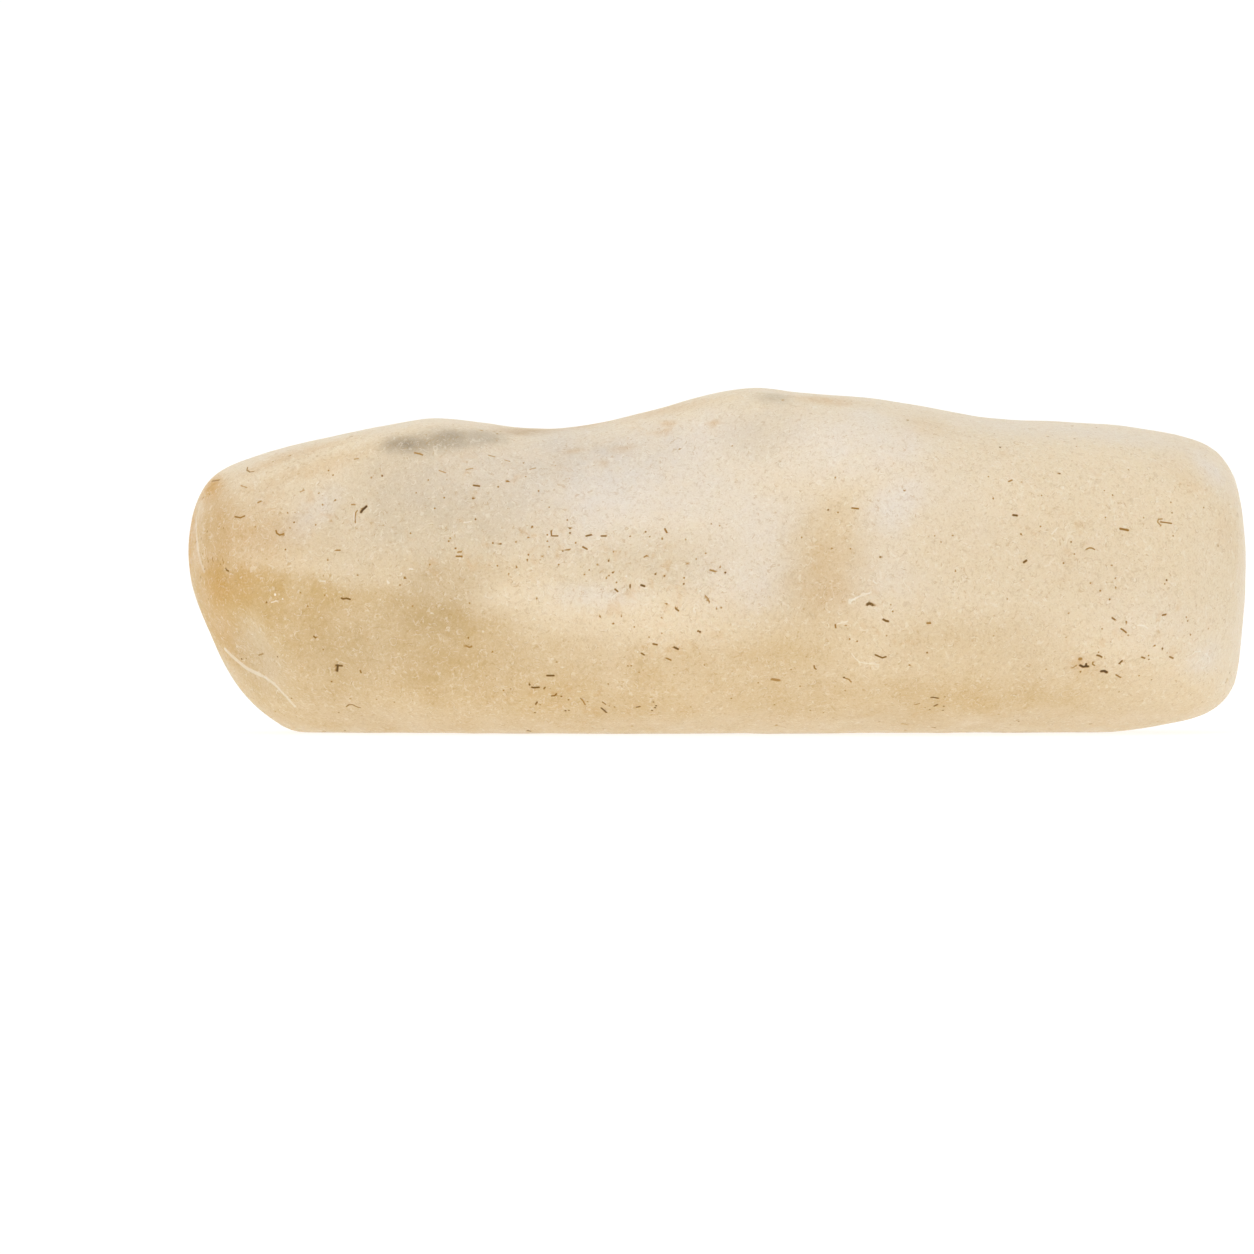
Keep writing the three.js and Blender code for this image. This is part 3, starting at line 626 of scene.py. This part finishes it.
def tintSkin(skin, tree, settings):
    # Stores how milky, straw, amber and speckled the glass is at each point, and the painted highlights,
    # painted shade and painted reflection that the zones hold
    layers = {name: skin.verts.layers.float.new(name) for name in zones}
    depths = {}
    for zone in {zone for group in zones.values() for zone in group}:
        found = onBroadFace(tree, [zone[:2]])
        depths[zone] = found[0].y / mm if found else 0.0
    mostPush, pushShare = settings["rippled"]
    for vert in skin.verts:
        spot = vert.co / mm
        shown = seenAt(vert.co)
        shift = Vector((0, 0, 0))
        for wave, push in settings["ripples"]:
            shift += Vector([noise.noise(spot / wave + Vector(start)) * push
                             for start in settings["rippleStarts"]])
        front = smoothStep(*settings["front"], spot.y)
        for name, layer in layers.items():
            left = 1.0
            for zone in zones[name]:
                push = min(mostPush, pushShare * min(zone[2:4]))
                place = Vector((shown.x, spot.y, shown.z)) + shift * push
                left *= 1 - zoneStrength(place, zone, depths[zone], settings)
            # Below the slope line, straw colour that is partly the glass's own and partly painted shade of
            # the lower slope
            if name == "straw":
                above = shown.z + shift.z * ridge["rippled"] - alongLine(ridge["line"], shown.x)
                low = alongLine(ridge["below"], shown.x)
                left *= 1 - alongLine(ridge["straw"], shown.x) * smoothStep(ridge["above"], low, above)
            vert[layer] = (1 - left) * front
        cloud = noise.noise(spot / settings["cloud"] + Vector(settings["cloudStart"]))
        patch = noise.noise(spot / settings["patch"])
        for name, value in (("milkAndHighlight", cloud), ("straw", -cloud), ("speckled", patch)):
            low, high, most = settings["behind"][name]
            vert[layers[name]] += (1 - front) * smoothStep(low, high, value) * most


def makeStone(settings):
    skin = bareSkin(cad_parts["desert_glass"], settings)
    print("skin:", len(skin.verts), "points")
    roughen(skin, settings)
    skin.normal_update()
    tree = BVHTree.FromBMesh(skin)
    strokes = markedStrokes(tree, marked) + scatteredStrokes(skin, tree, scatter, settings["seed"])
    tintSkin(skin, tree, tint)
    refine(skin, strokes, settings)
    cutStrokes(skin, strokes, settings)
    print("pits and marks:", len(strokes))
    for vert in skin.verts:
        vert.co.z = max(vert.co.z, 0.0)
    for face in skin.faces:
        face.smooth = True
    mesh = bpy.data.meshes.new("worn_glass")
    skin.to_mesh(mesh)
    skin.free()
    print("triangles:", sum(len(polygon.vertices) - 2 for polygon in mesh.polygons))
    piece = bpy.data.objects.new("worn_glass", mesh)
    bpy.context.scene.collection.objects.link(piece)
    return piece


# Wind-frosted silica glass: milky straw yellow that light sinks into, under a satin skin

glass = {
    "cream": "#e9d8bb",
    "ior": 1.46,
    "scattered": 0.7,         # share of the light that sinks in before it comes out again
    "sink": 1.5,              # mm that red light travels inside
    "sinkByColour": (1.0, 0.85, 0.62),
    "bump": (0.7, 0.016),     # strength and height in mm of the frosting
    "bend": (0.12, 0.09),     # size and reach in mm of the waves that bend the curls and the specks
    "patterns": {             # size in mm, detail, roughness and distortion of each noise
        "mottle": (0.9, 4.0, 0.62, 0.3),
        "grain": (0.055, 1.0, 0.5, 1.0),    # drawn coarser than real frosting, so that it shows
        "line": (0.34, 1.0, 0.5, 1.8),
        "lineBreak": (0.17, 1.0, 0.5, 0.0),
        "arcBreak": (0.14, 1.0, 0.5, 0.0),
        "gather": (1.5, 2.0, 0.6, 0.0),
        "stain": (0.42, 2.0, 0.6, 0.4),
    },
    "shades": {               # noise, its values from and to, and what they become
        "uneven": ("mottle", 0.3, 0.7, 0.75, 1.25),
        # Grain that the bump raises: dust and painted shade in its hollows, frost and painted highlight on
        # its crests
        "grainDustAndShade": ("grain", 0.48, 0.25, 0.0, 0.21),
        "grainFrostAndHighlight": ("grain", 0.54, 0.78, 0.0, 0.22),
        "lineLight": ("lineBreak", 0.54, 0.59, 0.0, 0.26),
        "lineDark": ("lineBreak", 0.46, 0.41, 0.0, 0.14),
        "arcLight": ("arcBreak", 0.52, 0.57, 0.0, 0.25),
        "arcDark": ("arcBreak", 0.52, 0.57, 0.0, 0.16),
        "dashShown": ("arcBreak", 0.56, 0.62, 0.0, 0.3),
        "gatherShown": ("gather", 0.4, 0.62, 0.1, 1.0),
        "stainShown": ("stain", 0.56, 0.72, 0.0, 0.4),
        "satin": ("mottle", 0.3, 0.7, 0.38, 0.55),
    },
    # The milky colour also paints highlights and sheen, the straw colour shade on the lower slope, the amber
    # colour a reflection along the top edge, and the grey one painted shade
    "zoneColours": {"milkAndHighlight": "#e7ded3", "straw": "#c9a662", "amberAndReflection": "#cf9f50", "paintedShade": "#8b7c66"},
    # dark: dust and painted shade in the grain's hollows, and the dark scratches and curls; light: frost and
    # painted highlight on the grain's crests, painted highlights on chips, ridges and crescents, and the
    # light scratches and curls
    "dark": "#aa833e",        # hollows of the grain
    "light": "#f7f1e4",       # its crests, and chips
    "dirtLight": "#b28213",
    "dirtDark": "#523603",
    "marks": [                # what, field at its edge and within, amounts from and to, most shown, colour
        ("dirt", 0.43, 0.68, 0.0, 0.55, 0.92, "dirtLight"),
        ("dirt", 0.57, 0.78, 0.4, 0.95, 0.95, "dirtDark"),
        ("glint", 0.5, 0.68, 0.0, 1.0, 1.0, "light"),
    ],
    "speckSquash": (1.0, 1.0, 1.5),
    "speckEdge": (0.6, 1.5),  # shares of the radius between which a speck fades out
    "speckRise": 0.3,         # share of cells over which the strength comes up to the full one
    "specks": [               # spacing in mm, radius in mm, share of cells left out, strength
        (0.22, 0.018, 0.62, 0.5),
        (0.38, 0.023, 0.5, 0.75),
    ],
    "arcSpacing": 0.38,       # mm between the middles of percussion curls
    "arcs": [                 # radius in mm from and to, half thickness in mm, how shown, colour
        (0.06, 0.16, 0.011, "arcLight", "light"),
        (0.08, 0.18, 0.009, "arcDark", "dark"),
    ],
    "lines": [                # value of the noise along the line, half thickness in it, how shown, colour
        (0.5, 0.03, "lineLight", "light"),
        (0.5, 0.035, "lineDark", "dark"),
        (0.57, 0.022, "dashShown", "dirtLight"),
    ],
}


def frostedGlass(name, settings):
    material = bpy.data.materials.new(name)
    material.use_nodes = True
    tree = material.node_tree
    tree.nodes.clear()
    place = addNode(tree, "ShaderNodeTexCoord").outputs["Object"]

    noises = {}
    for title, (size, detail, roughness, distortion) in settings["patterns"].items():
        noises[title] = addNode(tree, "ShaderNodeTexNoise", {
            "Vector": place, "Scale": 1 / (size * mm), "Detail": detail, "Roughness": roughness,
            "Distortion": distortion}).outputs["Fac"]
    shades = {}
    for title, (source, low, high, least, most) in settings["shades"].items():
        shades[title] = addNode(tree, "ShaderNodeMapRange", {
            "Value": noises[source], "From Min": low, "From Max": high, "To Min": least,
            "To Max": most}).outputs[0]
    painted = {title: addNode(tree, "ShaderNodeAttribute", attribute_name=title).outputs["Fac"]
               for title in list(zones) + ["dirt", "dirtNear", "glint", "glintNear"]}

    # Layers over the cream glass, from the deepest up: how much of each, and its colour
    layers = []
    # Zone layers: glass colours, with the painted highlights, shade and reflection that the zones hold
    for title, hue in settings["zoneColours"].items():
        amount = addNode(tree, "ShaderNodeMath", {0: painted[title], 1: shades["uneven"]},
                         operation="MULTIPLY", use_clamp=True)
        layers.append((amount.outputs[0], hue))
    stain = addNode(tree, "ShaderNodeMath", {0: painted["speckled"], 1: shades["stainShown"]},
                    operation="MULTIPLY")
    layers.append((stain.outputs[0], settings["zoneColours"]["amberAndReflection"]))
    # Painted shade with dust in the grain's hollows, and painted highlight with frost on its crests
    layers.append((shades["grainDustAndShade"], settings["dark"]))
    layers.append((shades["grainFrostAndHighlight"], settings["light"]))

    # Fine scratches, light and dark: short pieces of the lines where a noise passes its middle
    for value, thickness, shown, hue in settings["lines"]:
        onLine = addNode(tree, "ShaderNodeMath", {0: noises["line"], 1: value, 2: thickness},
                         operation="COMPARE")
        amount = addNode(tree, "ShaderNodeMath", {0: onLine.outputs[0], 1: shades[shown]},
                         operation="MULTIPLY")
        layers.append((amount.outputs[0], settings[hue]))

    # Percussion curls: broken arcs round scattered points, each a light line with a dark one outside it
    size, reach = settings["bend"]
    bend = addNode(tree, "ShaderNodeTexNoise", {"Vector": place, "Scale": 1 / (size * mm), "Detail": 1.0})
    push = addNode(tree, "ShaderNodeVectorMath", {0: bend.outputs["Color"], 1: (0.5, 0.5, 0.5)},
                   operation="SUBTRACT")
    bent = addNode(tree, "ShaderNodeVectorMath", {0: push.outputs[0], 1: (reach * mm,) * 3, 2: place},
                   operation="MULTIPLY_ADD")
    spacing = settings["arcSpacing"]
    cells = addNode(tree, "ShaderNodeTexVoronoi", {"Vector": bent.outputs[0],
                                                   "Scale": 1 / (spacing * mm)})
    chance = addNode(tree, "ShaderNodeSeparateColor", {0: cells.outputs["Color"]})
    for least, most, thickness, shown, hue in settings["arcs"]:
        radius = addNode(tree, "ShaderNodeMapRange", {"Value": chance.outputs[1], "To Min": least / spacing,
                                                      "To Max": most / spacing})
        onArc = addNode(tree, "ShaderNodeMath", {0: cells.outputs["Distance"], 1: radius.outputs[0],
                                                 2: thickness / spacing}, operation="COMPARE")
        amount = addNode(tree, "ShaderNodeMath", {0: onArc.outputs[0], 1: shades[shown]},
                         operation="MULTIPLY")
        layers.append((amount.outputs[0], settings[hue]))

    # Brown specks: flattened cells, some of which hold a grain of dirt
    flat = addNode(tree, "ShaderNodeMapping", {"Vector": bent.outputs[0],
                                                "Scale": settings["speckSquash"]})
    gathered = addNode(tree, "ShaderNodeMath", {0: painted["speckled"], 1: shades["gatherShown"]},
                       operation="MAXIMUM")
    for spacing, radius, leftOut, strength in settings["specks"]:
        cells = addNode(tree, "ShaderNodeTexVoronoi", {"Vector": flat.outputs[0],
                                                       "Scale": 1 / (spacing * mm)})
        chance = addNode(tree, "ShaderNodeSeparateColor", {0: cells.outputs["Color"]})
        held = addNode(tree, "ShaderNodeMapRange", {
            "Value": chance.outputs[0], "From Min": leftOut,
            "From Max": leftOut + settings["speckRise"], "To Min": 0.0, "To Max": strength})
        within, beyond = [share * radius / spacing for share in settings["speckEdge"]]
        grain = addNode(tree, "ShaderNodeMapRange", {
            "Value": cells.outputs["Distance"], "From Min": within, "From Max": beyond,
            "To Min": 1.0, "To Max": 0.0})
        shown = addNode(tree, "ShaderNodeMath", {0: grain.outputs[0], 1: held.outputs[0]},
                        operation="MULTIPLY")
        amount = addNode(tree, "ShaderNodeMath", {0: shown.outputs[0], 1: gathered.outputs[0]},
                         operation="MULTIPLY", use_clamp=True)
        layers.append((amount.outputs[0], settings["dirtLight"]))

    # Dirt in the marks, golden where there is little and dark where there is much, and painted highlights
    # on chips, ridges and crescents
    for kind, outer, inner, low, high, most, hue in settings["marks"]:
        inside = addNode(tree, "ShaderNodeMapRange", {
            "Value": painted[kind + "Near"], "From Min": outer, "From Max": inner,
            "To Min": 0.0, "To Max": 1.0})
        share = addNode(tree, "ShaderNodeMapRange", {
            "Value": painted[kind], "From Min": low, "From Max": high, "To Min": 0.0, "To Max": most})
        amount = addNode(tree, "ShaderNodeMath", {0: inside.outputs[0], 1: share.outputs[0]},
                         operation="MULTIPLY")
        layers.append((amount.outputs[0], settings[hue]))

    colour = linearColour(settings["cream"])
    for amount, hue in layers:
        colour = addNode(tree, "ShaderNodeMix", {0: amount, mixA: colour, mixB: linearColour(hue)},
                         data_type="RGBA").outputs[mixResult]

    strength, height = settings["bump"]
    bump = addNode(tree, "ShaderNodeBump", {"Strength": strength, "Distance": height * mm,
                                            "Height": noises["grain"]})
    surface = addNode(tree, "ShaderNodeBsdfPrincipled", {
        "Base Color": colour, "Roughness": shades["satin"], "IOR": settings["ior"],
        "Subsurface Weight": settings["scattered"], "Subsurface Radius": settings["sinkByColour"],
        "Subsurface Scale": settings["sink"] * mm, "Normal": bump.outputs[0],
    }, subsurface_method="RANDOM_WALK")
    addNode(tree, "ShaderNodeOutputMaterial", {"Surface": surface.outputs[0]})
    return material


wornGlass = makeStone(stone)
wornGlass.data.materials.append(frostedGlass("wind-frosted silica glass", glass))
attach(wornGlass, "root")
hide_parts("desert_glass")


# Studio: a light table that curves up behind, a bright sky and two soft lights

studio = {
    "paper": "#8f8e8c",
    "paperRoughness": 0.9,
    "paperGlow": "#f6f5f3",
    "floorWidth": 900,        # mm
    "floorFront": 420,
    "floorBack": 240,
    "sweep": 160,             # radius of the curve behind
    "sweepSteps": 24,
    "glow": 0.86,             # strength of the light that comes through the paper from below
    "sky": 0.81,
    "lights": [               # place in mm, width in mm, watts
        ((-40, -80, 130), 150, 0.046),
        ((10, -200, 40), 170, 0.018),
    ],
}


def makeStudio(settings):
    sheet = bmesh.new()
    half = settings["floorWidth"] / 2 * mm
    row = [sheet.verts.new((x, -settings["floorFront"] * mm, 0)) for x in (-half, half)]
    edge = sheet.edges.new(row)
    out = bmesh.ops.extrude_edge_only(sheet, edges=[edge])
    moved = [item for item in out["geom"] if isinstance(item, bmesh.types.BMVert)]
    bmesh.ops.translate(sheet, verts=moved, vec=(0, (settings["floorFront"] + settings["floorBack"]) * mm, 0))
    edges = [item for item in out["geom"] if isinstance(item, bmesh.types.BMEdge)]
    bmesh.ops.spin(sheet, geom=moved + edges, cent=(0, settings["floorBack"] * mm, settings["sweep"] * mm),
                   axis=(1, 0, 0), dvec=(0, 0, 0), angle=math.pi / 2,
                   steps=settings["sweepSteps"], use_duplicate=False)
    mesh = bpy.data.meshes.new("floor")
    bmesh.ops.recalc_face_normals(sheet, faces=sheet.faces)
    for face in sheet.faces:
        face.smooth = True
    sheet.to_mesh(mesh)
    sheet.free()
    floor = bpy.data.objects.new("floor", mesh)
    bpy.context.scene.collection.objects.link(floor)
    paper = bpy.data.materials.new("light table paper")
    paper.use_nodes = True
    surface = paper.node_tree.nodes["Principled BSDF"]
    surface.inputs["Base Color"].default_value = linearColour(settings["paper"])
    surface.inputs["Roughness"].default_value = settings["paperRoughness"]
    surface.inputs["Emission Color"].default_value = linearColour(settings["paperGlow"])
    surface.inputs["Emission Strength"].default_value = settings["glow"]
    mesh.materials.append(paper)

    world = bpy.data.worlds.new("studio")
    world.use_nodes = True
    background = world.node_tree.nodes["Background"]
    background.inputs["Color"].default_value = (1, 1, 1, 1)
    background.inputs["Strength"].default_value = settings["sky"]
    bpy.context.scene.world = world

    for place, width, watts in settings["lights"]:
        lamp = bpy.data.lights.new("softbox", "AREA")
        lamp.shape = "SQUARE"
        lamp.size = width * mm
        lamp.energy = watts
        box = bpy.data.objects.new("softbox", lamp)
        box.location = Vector(place) * mm
        box.rotation_euler = (-box.location).to_track_quat("-Z", "Y").to_euler()
        bpy.context.scene.collection.objects.link(box)


makeStudio(studio)
bpy.context.scene.view_settings.view_transform = "Standard"
print("studio lit")
